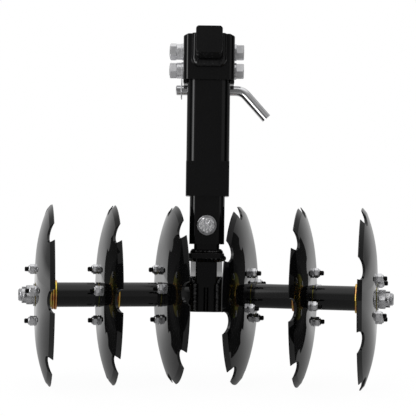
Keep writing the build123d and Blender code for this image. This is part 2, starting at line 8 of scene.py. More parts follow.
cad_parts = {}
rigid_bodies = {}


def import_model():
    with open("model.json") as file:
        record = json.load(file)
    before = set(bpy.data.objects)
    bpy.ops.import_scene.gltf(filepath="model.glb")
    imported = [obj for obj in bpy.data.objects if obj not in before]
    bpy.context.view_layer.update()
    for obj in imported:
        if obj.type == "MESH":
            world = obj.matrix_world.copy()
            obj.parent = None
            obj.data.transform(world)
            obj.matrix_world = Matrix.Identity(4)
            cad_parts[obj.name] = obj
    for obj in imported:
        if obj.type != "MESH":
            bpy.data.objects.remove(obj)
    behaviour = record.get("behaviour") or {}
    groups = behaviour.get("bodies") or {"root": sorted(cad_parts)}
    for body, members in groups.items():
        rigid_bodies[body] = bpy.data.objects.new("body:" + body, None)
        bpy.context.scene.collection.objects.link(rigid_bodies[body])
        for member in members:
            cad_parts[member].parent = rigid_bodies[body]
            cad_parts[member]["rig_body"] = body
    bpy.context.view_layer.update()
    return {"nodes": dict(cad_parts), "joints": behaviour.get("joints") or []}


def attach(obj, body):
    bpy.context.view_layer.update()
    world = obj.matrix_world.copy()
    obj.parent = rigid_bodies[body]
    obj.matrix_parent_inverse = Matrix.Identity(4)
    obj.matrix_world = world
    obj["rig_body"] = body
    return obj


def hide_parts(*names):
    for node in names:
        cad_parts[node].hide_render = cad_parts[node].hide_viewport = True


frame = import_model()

# The studio. The harrow stands on a white table in front of a white background, and the
# camera looks level at it from the drawbar's end. The room behind the camera is dark, with
# one soft box to its left, and that is what keeps the paint's flat fronts black.
CAMERA_AT = (-0.0003, -2.0107, 0.3298)
CAMERA_PITCH_UP = 0.0110
CAMERA_YAW = -0.0010
CAMERA_ROLL = 0.0130
FOCAL_PIXELS = 1012.5
FRAME_PIXELS = 416
SENSOR_WIDE = 36.0

camera_data = bpy.data.cameras.new("camera")
camera_data.sensor_width = SENSOR_WIDE
camera_data.lens = SENSOR_WIDE * FOCAL_PIXELS / FRAME_PIXELS
camera = bpy.data.objects.new("camera", camera_data)
bpy.context.scene.collection.objects.link(camera)
look = Matrix.Rotation(CAMERA_YAW, 4, "Z") @ Matrix.Rotation(pi / 2 + CAMERA_PITCH_UP, 4, "X")
camera.matrix_world = Matrix.Translation(CAMERA_AT) @ look @ Matrix.Rotation(CAMERA_ROLL, 4, "Z")
bpy.context.scene.camera = camera
bpy.context.scene.view_settings.view_transform = "Standard"


class Shade:
    """An output socket in a node tree. Arithmetic on it adds Math nodes to the tree.

    node() adds any other node. Its inputs are given by name, or as n and a number where
    several inputs share a name.
    """

    def __init__(self, tree, socket=None):
        self.tree = tree
        self.socket = socket

    def node(self, kind, settings=None, output=0, **inputs):
        made = self.tree.nodes.new("ShaderNode" + kind)
        for name, value in (settings or {}).items():
            if name == "stops":
                ramp = made.color_ramp.elements
                while len(ramp) < len(value):
                    ramp.new(0.5)
                for stop, (place, colour) in zip(ramp, value):
                    stop.position = place
                    stop.color = colour
            else:
                setattr(made, name, value)
        for name, value in inputs.items():
            key = int(name[1:]) if name[0] == "n" and name[1:].isdigit() else name.replace("_", " ")
            if isinstance(value, Shade):
                self.tree.links.new(value.socket, made.inputs[key])
            else:
                made.inputs[key].default_value = value
        return Shade(self.tree, made.outputs[output])

    def math(self, operation, first, second=0.0):
        return self.node("Math", {"operation": operation}, n0=first, n1=second)

    def __add__(self, other):
        return self.math("ADD", self, other)

    def __radd__(self, other):
        return self.math("ADD", other, self)

    def __sub__(self, other):
        return self.math("SUBTRACT", self, other)

    def __rsub__(self, other):
        return self.math("SUBTRACT", other, self)

    def __mul__(self, other):
        return self.math("MULTIPLY", self, other)

    def __rmul__(self, other):
        return self.math("MULTIPLY", other, self)


def grey(level):
    return (level, level, level, 1.0)


BLACK = grey(0.0)
WHITE = grey(1.0)
BRIGHTEST = 4.0
# What stands round the harrow: degrees from the camera's side, left negative, and how bright.
# The front is the same at all heights. The rest is first at the table's level, then higher up.
ROOM_FRONT = ((-66, 0.0), (-52, 0.1), (-42, 1.6), (-33, 3.5), (-26, 3.4), (-21, 0.3), (-12, 0.3),
              (-8, 0.12), (8, 0.12), (14, 0.3), (45, 0.3), (58, 0.0), (80, 0.0))
ROOM_LOW = ((-180, 0.45), (-165, 0.45), (-150, 0.55), (-135, 0.7), (-120, 0.9), (-108, 0.95),
            (-98, 0.4), (-90, 0.2), (-75, 0.1), *ROOM_FRONT, (90, 0.2), (98, 0.4), (108, 0.95),
            (120, 0.9), (135, 0.7), (150, 0.55), (165, 0.45), (180, 0.45))
ROOM_HIGH = ((-180, 0.7), (-150, 0.5), (-135, 0.25), (-95, 0.2), (-75, 0.1), *ROOM_FRONT,
             (95, 0.2), (135, 0.25), (150, 0.5), (180, 0.7))
HIGH_FROM = 0.05         # sine of the height from which the second row holds
CEILING_FROM = 0.58      # sines of the heights between which the ceiling fades in
CEILING_FULL = 0.88
OVERHEAD = 0.9

world = bpy.data.worlds.new("studio")
bpy.context.scene.world = world
world.use_nodes = True
world.node_tree.nodes.clear()
sky = Shade(world.node_tree)
direction = sky.node("TexCoord", None, "Generated")
across = sky.node("SeparateXYZ", None, "X", Vector=direction)
deep = sky.node("SeparateXYZ", None, "Y", Vector=direction)
high = sky.node("SeparateXYZ", None, "Z", Vector=direction)
turn = sky.math("ARCTAN2", across, deep * -1.0) * (0.5 / pi) + 0.5
walls = []
for levels in (ROOM_LOW, ROOM_HIGH):
    stops = [(0.5 + angle / 360, grey(level / BRIGHTEST)) for angle, level in levels]
    walls.append(sky.node("ValToRGB", {"stops": stops}, Fac=turn))
higher = sky.node("ValToRGB", {"stops": [(0.0, BLACK), (HIGH_FROM, WHITE)]}, Fac=high)
room = sky.node("Mix", {"data_type": "RGBA"}, 2, n0=higher, n6=walls[0], n7=walls[1])
above = sky.node("ValToRGB", {"stops": [(CEILING_FROM, BLACK), (CEILING_FULL, WHITE)]}, Fac=high)
room = sky.node("Mix", {"data_type": "RGBA"}, 2, n0=above, n6=room, n7=grey(OVERHEAD / BRIGHTEST))
by_camera = sky.node("LightPath", None, "Is Camera Ray")
seen = sky.math("MAXIMUM", by_camera, sky.node("LightPath", None, "Is Transmission Ray"))
backdrop = sky.node("Mix", {"data_type": "RGBA"}, 2, n0=seen, n6=room, n7=grey(1.0 / BRIGHTEST))
background = sky.node("Background", Color=backdrop, Strength=BRIGHTEST)
output = world.node_tree.nodes.new("ShaderNodeOutputWorld")
world.node_tree.links.new(background.socket, output.inputs["Surface"])

TABLE_WIDE = 12.0
TABLE_FRONT = -0.75
TABLE_BACK = 4.0
TABLE_SEEN = 1.05        # what the camera sees of the table's white
MIRRORED_MIDDLE = 0.42   # what the gloss sees of it straight behind the harrow
MIRRORED_SIDES = 0.75    # out to the sides, from this far away
SIDES_FROM = 1.2
MIRRORED_FRONT = 0.5     # share of that left below the harrow's middle and in front of it
BEHIND_FROM = 0.9        # all of it is there from this far behind
TABLE_TONE = 0.8
SHADOW_SHARE = 0.08      # how much of the shading below the harrow shows in that white

table_mesh = bmesh.new()
bmesh.ops.create_grid(table_mesh, x_segments=1, y_segments=1, size=0.5)
bmesh.ops.scale(table_mesh, vec=(TABLE_WIDE, TABLE_BACK - TABLE_FRONT, 1), verts=table_mesh.verts)
bmesh.ops.translate(table_mesh, vec=(0, (TABLE_BACK + TABLE_FRONT) / 2, 0), verts=table_mesh.verts)
table_data = bpy.data.meshes.new("table")
table_mesh.to_mesh(table_data)
table_mesh.free()
table = bpy.data.objects.new("table", table_data)
bpy.context.scene.collection.objects.link(table)
table_white = bpy.data.materials.new("table_white")
table_white.use_nodes = True
table_white.node_tree.nodes.clear()
start = Shade(table_white.node_tree)
from_camera = start.node("LightPath", None, "Is Camera Ray")
from_gloss = start.node("LightPath", None, "Is Glossy Ray")
lit = start.node("BsdfDiffuse", Color=grey(TABLE_TONE))
place = start.node("TexCoord", None, "Object")
aside = start.math("ABSOLUTE", start.node("SeparateXYZ", None, "X", Vector=place))
aside = start.node("MapRange", Value=aside, From_Max=SIDES_FROM, To_Min=MIRRORED_MIDDLE,
                   To_Max=MIRRORED_SIDES)
behind = start.node("SeparateXYZ", None, "Y", Vector=place)
behind = start.node("MapRange", Value=behind, From_Max=BEHIND_FROM, To_Min=MIRRORED_FRONT)
glow_level = TABLE_SEEN - from_gloss * (TABLE_SEEN - aside * behind)
glow = start.node("Emission", Color=WHITE, Strength=glow_level)
share = start.math("MAXIMUM", from_camera * (1.0 - SHADOW_SHARE), from_gloss)
both = start.node("MixShader", n0=share, n1=lit, n2=glow)
output = table_white.node_tree.nodes.new("ShaderNodeOutputMaterial")
table_white.node_tree.links.new(both.socket, output.inputs["Surface"])
table_data.materials.append(table_white)


# The axle carrier is an upright box with a round stub on either side for each axle, welded
# up from plate, with a plate welded on above, and painted gloss black. Paint leaves no sharp
# corner, so the solids' edges are eased, and rippled beads lie over their plain fillet welds.
PAINT_BASE = 0.0042
PAINT_BLUE = 1.06        # a trace cooler than grey
PAINT_ROUGH = 0.075
PAINT_IOR = 1.5
TONE_LEAST = 0.6         # shares of the paint's tone: without clouds, and what they add
TONE_CLOUD = 0.8
ROUGH_LEAST = 0.5        # shares of its roughness: without either, and what each adds
ROUGH_CLOUD = 0.7
ROUGH_DUST = 0.3
CLOUD_SCALE = 14.0       # noise in a metre: clouds, dust, and the waves of orange peel
DUST_SCALE = 900.0
PEEL_SCALE = 380.0
PEEL_DEPTH = 0.000016
WELD_ROUGH = 0.10
WELD_PEEL = 0.00002
EDGE_EASE = 0.0006
EASE_STEPS = 3
SHARP = radians(32)
FLAT = radians(0.3)
MERGE = 1e-6
MERGE_FINE = 1e-7
GANG_TILT = radians(11.35)
FIRST_JOINT = 0.0765     # from the shank's middle to the first blade's joint, along the axle
BOX_FRONT = 0.0414
BOX_DEEP = 0.062
BOX_BELOW = 0.033
BOX_ABOVE = 0.074
BOX_CORNER = 0.0025
STUB_R = 0.025
STUB_BEAD = 0.011
PLATE_BEAD = 0.0075
FRONT_BEAD = 0.010
FRONT_BEAD_TOP = 0.024
MIDDLE_BEAD = 0.006
MIDDLE_BEAD_TOP = 0.016
FRONT_BEAD_RISE = 0.6    # height of these three, as a share of their legs
FRONT_UNEVEN = 1.6
BEAD_STEP = 0.0006
BEAD_SIDES = 14
BEAD_CENTRE = 0.25       # centre and radius of a bead's round section, as shares of its legs
BEAD_ROUND = 0.78
RIPPLE_PITCH = 0.0026
RIPPLE_LAG = 1.5         # how far the ripples bow along the bead, in radians
RIPPLE_RISE = 0.05
LUMP_SCALE = 260.0
FINE_SCALE = 700.0
FINE_SHARE = 0.5         # of the fine lumps, beside the large ones


def new_material(name):
    """A material with its shader and the start of its maths."""
    made = bpy.data.materials.new(name)
    made.use_nodes = True
    return made, made.node_tree.nodes["Principled BSDF"], Shade(made.node_tree)


def join(material, shader, **values):
    """Links values to the shader's inputs of those names."""
    for name, value in values.items():
        material.node_tree.links.new(value.socket, shader.inputs[name.replace("_", " ")])


def black_paint(name, rough, peel):
    """Black coat, cloudy and dusty by a trace. peel is the depth of its orange peel."""
    made, shader, start = new_material(name)
    place = start.node("TexCoord", None, "Object")
    cloud = start.node("TexNoise", Vector=place, Scale=CLOUD_SCALE, Detail=4.0, Roughness=0.6)
    dust = start.node("TexNoise", Vector=place, Scale=DUST_SCALE, Detail=2.0)
    waves = start.node("TexNoise", Vector=place, Scale=PEEL_SCALE, Detail=2.5, Roughness=0.55)
    tone = (cloud * TONE_CLOUD + TONE_LEAST) * PAINT_BASE
    colour = start.node("CombineColor", Red=tone, Green=tone, Blue=tone * PAINT_BLUE)
    sheen = (cloud * ROUGH_CLOUD + dust * ROUGH_DUST + ROUGH_LEAST) * rough
    bump = start.node("Bump", Strength=1.0, Distance=peel, Height=waves)
    join(made, shader, Base_Color=colour, Roughness=sheen, Normal=bump)
    shader.inputs["IOR"].default_value = PAINT_IOR
    return made


def wear(node, material):
    """Gives a solid of the CAD part its material."""
    frame["nodes"][node].data.materials.clear()
    frame["nodes"][node].data.materials.append(material)


def add_piece(name, mesh, material, body, replaced=()):
    """Makes the mesh a piece that rides on a body, smooth but for its sharp edges."""
    bmesh.ops.recalc_face_normals(mesh, faces=mesh.faces)
    for edge in mesh.edges:
        edge.smooth = edge.is_manifold and edge.calc_face_angle() < SHARP
    for face in mesh.faces:
        face.smooth = True
    data = bpy.data.meshes.new(name)
    mesh.to_mesh(data)
    mesh.free()
    data.materials.append(material)
    piece = bpy.data.objects.new(name, data)
    bpy.context.scene.collection.objects.link(piece)
    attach(piece, body)
    if replaced:
        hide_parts(*replaced)
    return piece


def eased(node, material, width=EDGE_EASE):
    """The solid's own shape with its sharp edges rounded, in place of the solid."""
    mesh = bmesh.new()
    mesh.from_mesh(frame["nodes"][node].data)
    bmesh.ops.remove_doubles(mesh, verts=mesh.verts, dist=MERGE)
    bmesh.ops.dissolve_limit(mesh, angle_limit=FLAT, verts=mesh.verts, edges=mesh.edges)
    edges = [edge for edge in mesh.edges if edge.is_manifold and edge.calc_face_angle() > SHARP]
    bmesh.ops.bevel(mesh, geom=edges, offset=width, segments=EASE_STEPS, profile=0.5, affect="EDGES",
                    clamp_overlap=True, material=-1)
    for face in mesh.faces:
        face.material_index = 0
    body = frame["nodes"][node]["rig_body"]
    piece = add_piece(node + "_eased", mesh, material, body, [node])
    flats = piece.modifiers.new("flats", "WEIGHTED_NORMAL")
    flats.keep_sharp = True


def outline(corners, radius, height):
    """Even steps round a polygon with rounded corners, each with its outward direction."""
    steps = []
    for number, corner in enumerate(corners):
        before = (corner - corners[number - 1]).normalized()
        after_corner = corners[(number + 1) % len(corners)]
        after = (after_corner - corner).normalized()
        following = (corners[(number + 2) % len(corners)] - after_corner).normalized()
        bend = before.angle(after)
        out = Vector((before.y, -before.x))
        centre = corner - before * radius * tan(bend / 2) - out * radius
        count = ceil(radius * bend / BEAD_STEP)
        for part in range(count):
            side = Matrix.Rotation(bend * part / count, 2) @ out
            steps.append((centre + side * radius, side))
        out = Vector((after.y, -after.x))
        begin = corner + after * radius * tan(bend / 2)
        end = after_corner - after * radius * tan(after.angle(following) / 2)
        count = ceil((end - begin).length / BEAD_STEP)
        steps += [(begin.lerp(end, part / count), out) for part in range(count)]
    return [(Vector((*point, height)), Vector((*side, 0))) for point, side in steps]


def weld_bead(name, steps, up, reach, clips=(), replaced=(), closed=True, uneven=1.0):
    """A rippled bead along steps in a corner. reach gives its two legs for a direction.

    clips are planes that cut it, each as a point and the direction of what goes.
    """
    mesh = bmesh.new()
    bmesh.ops.create_grid(mesh, x_segments=len(steps), y_segments=BEAD_SIDES, size=0.5)
    for vert in mesh.verts:
        number = round((vert.co.x + 0.5) * len(steps))
        number = number % len(steps) if closed else min(number, len(steps) - 1)
        around = (vert.co.y + 0.5) * 2 * pi
        point, out = steps[number]
        along, rise = reach(out)
        ripple = sin(2 * pi * number * BEAD_STEP / RIPPLE_PITCH + RIPPLE_LAG * cos(around - pi / 4))
        lumps = noise.noise(point * LUMP_SCALE) + FINE_SHARE * noise.noise(point * FINE_SCALE)
        size = BEAD_ROUND * (1 + uneven * RIPPLE_RISE * (ripple + lumps))
        sideways = out * along * (BEAD_CENTRE + size * cos(around))
        vert.co = point + sideways + up * rise * (BEAD_CENTRE + size * sin(around))
    bmesh.ops.remove_doubles(mesh, verts=mesh.verts, dist=MERGE_FINE)
    for place, facing in clips:
        geometry = mesh.verts[:] + mesh.edges[:] + mesh.faces[:]
        bmesh.ops.bisect_plane(mesh, geom=geometry, plane_co=place, plane_no=facing, clear_outer=True)
    bmesh.ops.holes_fill(mesh, edges=[edge for edge in mesh.edges if edge.is_boundary], sides=0)
    add_piece(name, mesh, weld_paint, "frame", replaced)


def gang_ways(side):
    """Outward along a gang's axle, and forward square to it."""
    return (Vector((side * cos(GANG_TILT), -sin(GANG_TILT), 0)),
            Vector((-side * sin(GANG_TILT), -cos(GANG_TILT), 0)))


first = next(joint for joint in frame["joints"] if joint["name"] == "disc_4_spin")
middle = Vector(first["pos_m"]) - Vector(first["axis"]) * FIRST_JOINT
paint = black_paint("gloss_black_paint", PAINT_ROUGH, PEEL_DEPTH)
weld_paint = black_paint("gloss_black_paint_on_weld", WELD_ROUGH, WELD_PEEL)
for node in ("axle_carrier", "cap_plate"):
    eased(node, paint)

box_side = BOX_FRONT / 2 * cos(GANG_TILT) + BOX_DEEP / 2 * sin(GANG_TILT)
box_faces = [(middle + Vector((0, end * BOX_DEEP / 2, 0)), Vector((0, end, 0))) for end in (-1, 1)]
box_faces.append((middle - Vector((0, 0, BOX_BELOW)), Vector((0, 0, -1))))
for side, word in ((-1, "left"), (1, "right")):
    outward, forward = gang_ways(side)
    foot = middle + outward * box_side
    count = round(2 * pi * STUB_R / BEAD_STEP)
    steps = [Matrix.Rotation(2 * pi * part / count, 3, outward) @ forward for part in range(count)]
    steps = [(foot + way * STUB_R, way) for way in steps]
    weld_bead(f"carrier_weld_{word}", steps, outward, lambda out: (STUB_BEAD, STUB_BEAD), box_faces)

# In front, a run of weld covers each of the box's lower corners, and one goes down its middle.
down = Vector((0, 0, -1))
for name, x, top, leg in (("left", -BOX_FRONT / 2, FRONT_BEAD_TOP, FRONT_BEAD),
                          ("right", BOX_FRONT / 2, FRONT_BEAD_TOP, FRONT_BEAD),
                          ("middle", 0.0, MIDDLE_BEAD_TOP, MIDDLE_BEAD)):
    count = round((top + BOX_BELOW) / BEAD_STEP)
    out = Vector((1 if x > 0 else -1, 0, 0))
    corner = middle + Vector((x, -BOX_DEEP / 2, top)) - out * (0.0 if x else leg * BEAD_CENTRE)
    steps = [(corner + down * BEAD_STEP * part, out) for part in range(count)]
    weld_bead(f"carrier_front_weld_{name}", steps, Vector((0, -1, 0)),
              lambda out: (leg, leg * FRONT_BEAD_RISE), box_faces[2:], closed=False, uneven=FRONT_UNEVEN)

back = BOX_FRONT / 2 + BOX_DEEP * tan(GANG_TILT)
plan = [(-BOX_FRONT / 2, -BOX_DEEP / 2), (BOX_FRONT / 2, -BOX_DEEP / 2),
        (back, BOX_DEEP / 2), (-back, BOX_DEEP / 2)]
plan = [middle.xy + Vector(corner) for corner in plan]
weld_bead("carrier_plate_weld", outline(plan, BOX_CORNER, middle.z + BOX_ABOVE), down,
          lambda out: (PLATE_BEAD, PLATE_BEAD))


# The two axles are 1 inch zinc plated bars, pressed into the carrier's stubs. Each has a
# rolled thread at its outer end for the castle nut.
AXLE_R = 0.0127
AXLE_INNER = 0.0158
AXLE_NUT = 0.3442        # where the thread begins, along the axle
AXLE_TIP = 0.373
AXLE_PITCH = 0.0025
AXLE_CHAMFER = 0.002
AXLE_END = 0.004         # plain end of the core inside the thread
AXLE_CORE_R = 0.0115
AXLE_END_R = 0.0099
AXLE_SIDES = 48
LAP = 0.001              # how far the shapes that make up one piece reach into each other
THREAD_STEPS = 24        # in one turn
TOOTH_DEPTH = 0.55       # shares of the thread's pitch: how deep, and where the crest lies
TOOTH_CREST = (0.42, 0.58)
ZINC_BLUE = 1.02
ZINC_CLOUDS = 90.0       # noise in a metre: dull spots, lumps and grain
ZINC_LUMPS = 210.0
ZINC_GRAIN = 1400.0
DULL_FROM = 0.40         # levels of the clouds between which it turns dull
DULL_FULL = 0.62
DULL_ROUGH = 0.5
GRAIN_ROUGH = 0.06
GRAIN_HEIGHT = 0.1       # as a share of the lumps' height


def zinc_plate(name, tone, rough, mottle, relief, metal):
    """Zinc on steel, with duller spots. mottle is how dull they are, relief the lumps' depth."""
    made, shader, start = new_material(name)
    place = start.node("TexCoord", None, "Object")
    cloud = start.node("TexNoise", Vector=place, Scale=ZINC_CLOUDS, Detail=5.0, Roughness=0.65)
    grain = start.node("TexNoise", Vector=place, Scale=ZINC_GRAIN, Detail=2.0)
    lumps = start.node("TexNoise", Vector=place, Scale=ZINC_LUMPS, Detail=3.0, Roughness=0.6)
    spots = start.node("ValToRGB", {"stops": [(DULL_FROM, BLACK), (DULL_FULL, WHITE)]}, Fac=cloud)
    level = (1.0 - spots * mottle) * tone
    colour = start.node("CombineColor", Red=level, Green=level, Blue=level * ZINC_BLUE)
    sheen = rough + spots * (mottle * DULL_ROUGH) + grain * GRAIN_ROUGH
    bump = start.node("Bump", Strength=1.0, Distance=relief, Height=lumps + grain * GRAIN_HEIGHT)
    join(made, shader, Base_Color=colour, Roughness=sheen, Normal=bump)
    shader.inputs["Metallic"].default_value = metal
    return made


def turn_piece(mesh, profile, steps, across=0.0, turn=0.0):
    """Turns a profile of (radius, height) round Z. With a size across, its flats are a hexagon's."""
    made = [mesh.verts.new((radius, 0, height)) for radius, height in profile]
    edges = [mesh.edges.new(pair) for pair in zip(made, made[1:])]
    before = set(mesh.verts) - set(made)
    bmesh.ops.spin(mesh, geom=made + edges, cent=(0, 0, 0), axis=(0, 0, 1), angle=2 * pi, steps=steps,
                   use_merge=True)
    turned = [vert for vert in mesh.verts if vert not in before]
    if across:
        for vert in turned:
            part = (vert.co.to_2d().angle_signed(Vector((1, 0)), 0.0) + pi / 6) % (pi / 3) - pi / 6
            limit = across / 2 / cos(part)
            if vert.co.xy.length > limit:
                vert.co.xy = vert.co.xy.normalized() * limit
    bmesh.ops.rotate(mesh, cent=(0, 0, 0), matrix=Matrix.Rotation(turn, 3, "Z"), verts=turned)
    bmesh.ops.remove_doubles(mesh, verts=turned, dist=MERGE_FINE)


def pour(part, whole):
    """Adds one mesh to another and frees it."""
    data = bpy.data.meshes.new("part")
    part.to_mesh(data)
    part.free()
    whole.from_mesh(data)
    bpy.data.meshes.remove(data)


def thread(mesh, radius, pitch, low, high):
    """A rolled thread round Z from low to high: one tooth's profile, spun as a screw."""
    root = radius - TOOTH_DEPTH * pitch
    tooth = ((root, 0), (radius, TOOTH_CREST[0] * pitch), (radius, TOOTH_CREST[1] * pitch), (root, pitch))
    turns = ceil((high - low) / pitch) + 2
    part = bmesh.new()
    made = [part.verts.new((out, 0, low - pitch + up)) for out, up in tooth]
    edges = [part.edges.new(pair) for pair in zip(made, made[1:])]
    bmesh.ops.spin(part, geom=made + edges, cent=(0, 0, 0), axis=(0, 0, 1),
                   dvec=(0, 0, pitch / THREAD_STEPS), angle=2 * pi * turns, steps=THREAD_STEPS * turns)
    bmesh.ops.remove_doubles(part, verts=part.verts, dist=MERGE)
    for height, facing in ((low, -1), (high, 1)):
        geometry = part.verts[:] + part.edges[:] + part.faces[:]
        bmesh.ops.bisect_plane(part, geom=geometry, plane_co=(0, 0, height), plane_no=(0, 0, facing),
                               clear_outer=True)
    bmesh.ops.holes_fill(part, edges=[edge for edge in part.edges if edge.is_boundary], sides=0)
    pour(part, mesh)


def gang_place(side, along):
    """Z outward along the axle and X to the front, from a place on the axle."""
    outward, forward = gang_ways(side)
    turned = Matrix((forward, outward.cross(forward), outward)).transposed().to_4x4()
    return Matrix.Translation(middle + outward * along) @ turned


bright_zinc = zinc_plate("bright_zinc", tone=0.90, rough=0.07, mottle=0.10, relief=0.00001, metal=0.95)
dull_zinc = zinc_plate("dull_zinc", tone=0.84, rough=0.14, mottle=0.3, relief=0.00025, metal=0.85)
for side, word in ((-1, "left"), (1, "right")):
    mesh = bmesh.new()
    turn_piece(mesh, [(0, AXLE_INNER), (AXLE_R, AXLE_INNER), (AXLE_R, AXLE_NUT), (0, AXLE_NUT)], AXLE_SIDES)
    thread(mesh, AXLE_R, AXLE_PITCH, AXLE_NUT - LAP, AXLE_TIP - AXLE_CHAMFER)
    turn_piece(mesh, [(0, AXLE_TIP - AXLE_END), (AXLE_CORE_R, AXLE_TIP - AXLE_END),
                      (AXLE_CORE_R, AXLE_TIP - AXLE_CHAMFER), (AXLE_END_R, AXLE_TIP), (0, AXLE_TIP)],
               AXLE_SIDES)
    bmesh.ops.transform(mesh, matrix=gang_place(side, 0), verts=mesh.verts)
    add_piece(f"axle_bar_{word}", mesh, dull_zinc, "frame", [f"axle_{word}"])


# Black spacer tubes between the hubs keep the blades their distance apart. They are turned
# at the inner end, where each has a collar, and painted as the rest is.
SPACER_BORE = 0.01275
SPACER_R = 0.02415
SPACER_LONG = 0.0802
SPACER_START = 0.0952    # the first spacer's inner end, along the axle
DISC_PITCH = 0.123
SPACER_COLLAR_R = 0.0246
SPACER_COLLAR = 0.0045
SPACER_GROOVE_R = 0.0222
SPACER_GROOVE = 0.0022
SPACER_EDGE = 0.0004
SPACER_SIDES = 96
groove = SPACER_COLLAR + SPACER_GROOVE
spacer_profile = [(SPACER_BORE, 0), (SPACER_COLLAR_R - SPACER_EDGE, 0), (SPACER_COLLAR_R, SPACER_EDGE),
                  (SPACER_COLLAR_R, SPACER_COLLAR - SPACER_EDGE),
                  (SPACER_COLLAR_R - SPACER_EDGE, SPACER_COLLAR), (SPACER_GROOVE_R, SPACER_COLLAR),
                  (SPACER_GROOVE_R, groove), (SPACER_R - SPACER_EDGE, groove),
                  (SPACER_R, groove + SPACER_EDGE), (SPACER_R, SPACER_LONG - SPACER_EDGE),
                  (SPACER_R - SPACER_EDGE, SPACER_LONG), (SPACER_BORE, SPACER_LONG), (SPACER_BORE, 0)]
for side, word in ((-1, "left"), (1, "right")):
    for gap in (0, 1):
        mesh = bmesh.new()
        turn_piece(mesh, spacer_profile, SPACER_SIDES)
        inner_end = gang_place(side, SPACER_START + DISC_PITCH * gap)
        bmesh.ops.transform(mesh, matrix=inner_end, verts=mesh.verts)
        add_piece(f"spacer_tube_{word}_{gap + 1}", mesh, paint, "frame",
                  [f"spacer_{word}_{gap + 1}"])


# The blades are dished steel plate, notched round the rim and ground to an edge, with a
# smoother and glossier coat of the same black, so that each mirrors its neighbour.
BLADE_ROUGH = 0.035
BLADE_PEEL = 0.000006
blade_paint = black_paint("blade_black_enamel", BLADE_ROUGH, BLADE_PEEL)
for number in range(1, 7):
    wear(f"disc_{number}_blade", blade_paint)


# Each hub is forged steel in yellow zinc, with the passivation's rainbow tints, and a
# flanged bush turned from bronze is pressed into it from the inside. The bush's flange is
# two rounded rings with a groove between them.
FIRST_RIM = 0.0645       # from the shank's middle to the first blade's rim, along the axle
TINT_GRAIN = 1200.0
TINT_RELIEF = 0.00002
TINT_ROUGH = 0.08
TINT_GRAIN_ROUGH = 0.1
HUB_DRIFT = 30.0
BUSH_DRIFT = 22.0
HUB_TINTS = ((0.30, (0.30, 0.30, 0.06, 1)), (0.44, (0.46, 0.42, 0.10, 1)),
             (0.52, (0.40, 0.28, 0.08, 1)), (0.60, (0.22, 0.34, 0.08, 1)),
             (0.70, (0.44, 0.42, 0.12, 1)))
BUSH_TINTS = ((0.34, (0.95, 0.72, 0.12, 1)), (0.47, (0.92, 0.55, 0.16, 1)),
              (0.55, (0.85, 0.36, 0.16, 1)), (0.66, (0.95, 0.74, 0.20, 1)))
BUSH_RINGS = ((0.029, -0.0118, 0.0052), (0.0286, -0.0063, 0.0048))   # radius, inner end, width
BUSH_ROUND = 0.0018
ROUND_STEPS = 6
BUSH_GROOVE_R = 0.0272
BUSH_NECK_R = 0.025
BARREL_START = 0.0005    # the hub's barrel, which the bush's neck meets, outward of the rim
BUSH_BODY_R = 0.01578
BUSH_BORE = 0.01278
BUSH_END = 0.0304
BUSH_SIDES = 72


def passivated(name, stops, scale):
    """Yellow passivation: its colour drifts from one tint to the next over the metal."""
    made, shader, start = new_material(name)
    place = start.node("TexCoord", None, "Object")
    drift = start.node("TexNoise", Vector=place, Scale=scale, Detail=3.0, Roughness=0.5, Distortion=0.6)
    grain = start.node("TexNoise", Vector=place, Scale=TINT_GRAIN, Detail=2.0)
    colour = start.node("ValToRGB", {"stops": stops}, Fac=drift)
    sheen = TINT_ROUGH + grain * TINT_GRAIN_ROUGH
    bump = start.node("Bump", Strength=1.0, Distance=TINT_RELIEF, Height=grain)
    join(made, shader, Base_Color=colour, Roughness=sheen, Normal=bump)
    shader.inputs["Metallic"].default_value = 1.0
    return made


def rounded_ring(radius, low, wide):
    """Profile of a ring whose two outer edges are rounded."""
    swings = [pi / 2 * part / ROUND_STEPS for part in range(ROUND_STEPS + 1)]
    rise = [(radius - BUSH_ROUND * (1 - sin(swing)), low + BUSH_ROUND * (1 - cos(swing)))
            for swing in swings]
    high = low + wide
    return rise + [(radius - BUSH_ROUND * (1 - cos(swing)), high - BUSH_ROUND * (1 - sin(swing)))
                   for swing in swings]


def disc_place(number):
    """Which side a disc is on, and the place of its rim's middle."""
    side = -1 if number <= 3 else 1
    row = 3 - number if side < 0 else number - 4
    return side, gang_place(side, FIRST_RIM + DISC_PITCH * row)


inner, outer = BUSH_RINGS
bush_profile = [(BUSH_BORE, inner[1]), *rounded_ring(*inner), (BUSH_GROOVE_R, inner[1] + inner[2]),
                *rounded_ring(*outer), (BUSH_NECK_R, outer[1] + outer[2]), (BUSH_NECK_R, BARREL_START),
                (BUSH_BODY_R, BARREL_START), (BUSH_BODY_R, BUSH_END), (BUSH_BORE, BUSH_END),
                (BUSH_BORE, inner[1])]
yellow_zinc = passivated("yellow_zinc", HUB_TINTS, HUB_DRIFT)
gold_bronze = passivated("gold_bronze", BUSH_TINTS, BUSH_DRIFT)
for number in range(1, 7):
    wear(f"disc_{number}_hub", yellow_zinc)
    mesh = bmesh.new()
    turn_piece(mesh, bush_profile, BUSH_SIDES)
    bmesh.ops.transform(mesh, matrix=disc_place(number)[1], verts=mesh.verts)
    add_piece(f"disc_{number}_turned_bush", mesh, gold_bronze, f"disc_{number}",
              [f"disc_{number}_bush"])


